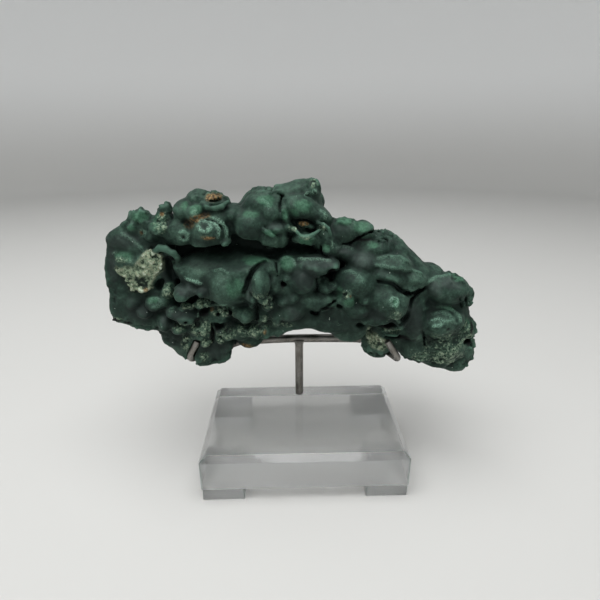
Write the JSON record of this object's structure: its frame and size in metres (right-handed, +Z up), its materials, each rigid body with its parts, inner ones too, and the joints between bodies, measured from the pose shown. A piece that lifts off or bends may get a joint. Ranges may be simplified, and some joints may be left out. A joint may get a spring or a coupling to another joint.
{
  "type": "malachite specimen on stand",
  "caption": "Botryoidal malachite specimen resting on a bent steel rod armature above a clear acrylic base block.",
  "frame": {"origin": "on the floor, under the middle of the whole object; the post stands 32 mm behind it", "axes": "+X to the right along the stone's length, +Y to the rear, +Z up"},
  "size_m": [0.2585, 0.0928, 0.2054],
  "materials": {
    "malachite": "velvety dark green botryoidal malachite with paler mint edges, pale rough matrix patches and rust spots",
    "clear_acrylic": "clear polished acrylic",
    "brushed_steel": "brushed grey-brown steel rod"
  },
  "bodies": {
    "root": {"malachite": "malachite", "acrylic_block": "clear_acrylic", "foot_front_left": "clear_acrylic", "foot_front_right": "clear_acrylic", "foot_rear_left": "clear_acrylic", "foot_rear_right": "clear_acrylic", "post": "brushed_steel", "crossbar": "brushed_steel", "arm_left": "brushed_steel", "arm_right": "brushed_steel"}
  },
  "joints": []
}
